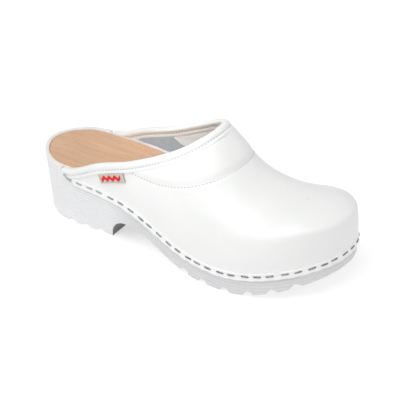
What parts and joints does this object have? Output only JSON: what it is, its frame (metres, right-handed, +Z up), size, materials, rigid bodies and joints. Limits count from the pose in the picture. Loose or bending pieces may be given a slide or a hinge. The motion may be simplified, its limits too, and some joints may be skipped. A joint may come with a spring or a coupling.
{
  "type": "wooden clog",
  "caption": "Open-back clog for the right foot: stapled white leather upper with a padded topline on a heeled white sole with a wooden footbed.",
  "frame": {"origin": "on the ground, at the middle of the shoe's ground box", "axes": "+X from the heel to the toe, +Y to the inner side of the foot, +Z up"},
  "size_m": [0.273, 0.1068, 0.105],
  "materials": {
    "sole_white": "satin, fine moulded wood-grain ribs",
    "beech": "satin, sanded beech",
    "leather_white": "smooth, semi-gloss coated leather",
    "rand_white": "smooth, semi-gloss",
    "puff_board": "matte",
    "foam": "matte",
    "lining_white": "woven, matte",
    "felt_grey": "felt, matte",
    "label_cloth": "woven tape, matte",
    "thread": "matte",
    "staple_steel": "bright drawn wire"
  },
  "bodies": {
    "root": {"sole_shell": "sole_white", "wooden_footbed": "beech", "vamp_leather": "leather_white", "toe_puff": "puff_board", "instep_foam": "foam", "interlining": "lining_white", "vamp_lining": "lining_white", "topline_binding": "leather_white", "topline_edge_roll": "foam", "rand_strip": "rand_white", "lining_patch_outer_side": "felt_grey", "lining_patch_inner_side": "felt_grey", "side_label": "label_cloth", "binding_stitching": "thread", "instep_stitching": "thread", "side_staples": "staple_steel", "end_staples": "staple_steel"}
  },
  "joints": []
}
